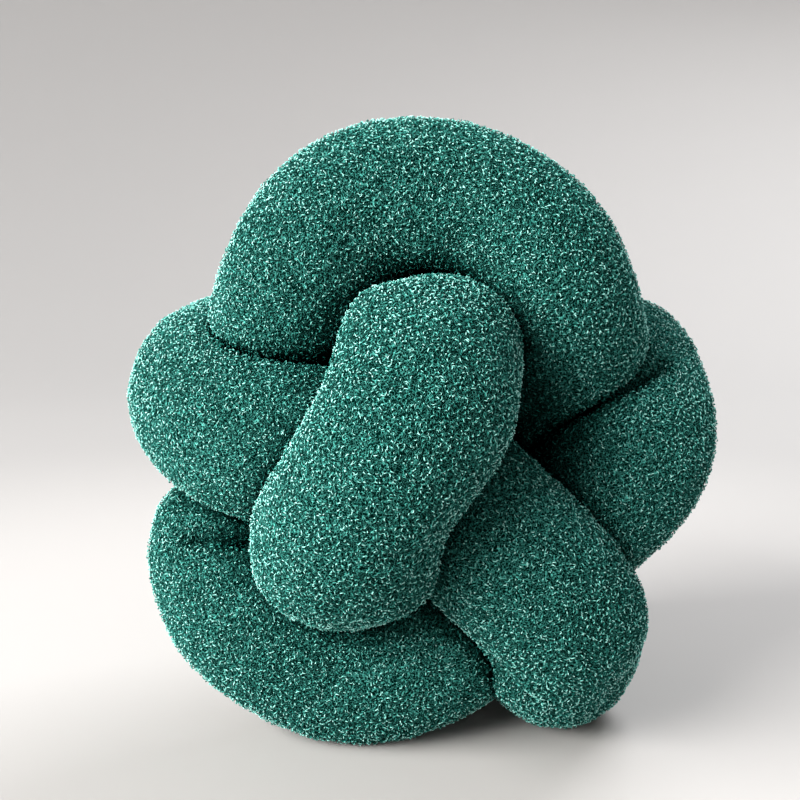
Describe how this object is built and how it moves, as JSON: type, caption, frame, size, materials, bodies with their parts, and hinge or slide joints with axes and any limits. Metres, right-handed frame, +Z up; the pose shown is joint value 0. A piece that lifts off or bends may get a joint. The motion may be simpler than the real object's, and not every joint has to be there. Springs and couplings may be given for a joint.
{
  "type": "knot cushion",
  "caption": "Round decorative cushion: a long stuffed tube of looped-pile cloth, closed on itself and tied into a tight ball of crossing strands, that rests on a sofa, bed or shelf.",
  "frame": {"origin": "on the surface that the cushion rests on, under the middle of its bounding box", "axes": "+Z up; -Y towards the front, where one strap runs down the middle of the ball under a wide arch; +X to the right seen from the front"},
  "size_m": [0.2942, 0.298, 0.2995],
  "materials": {
    "cloth": "green boucle, a matt pile of small random loops"
  },
  "bodies": {
    "root": {"knot_tube": "cloth"}
  },
  "joints": []
}
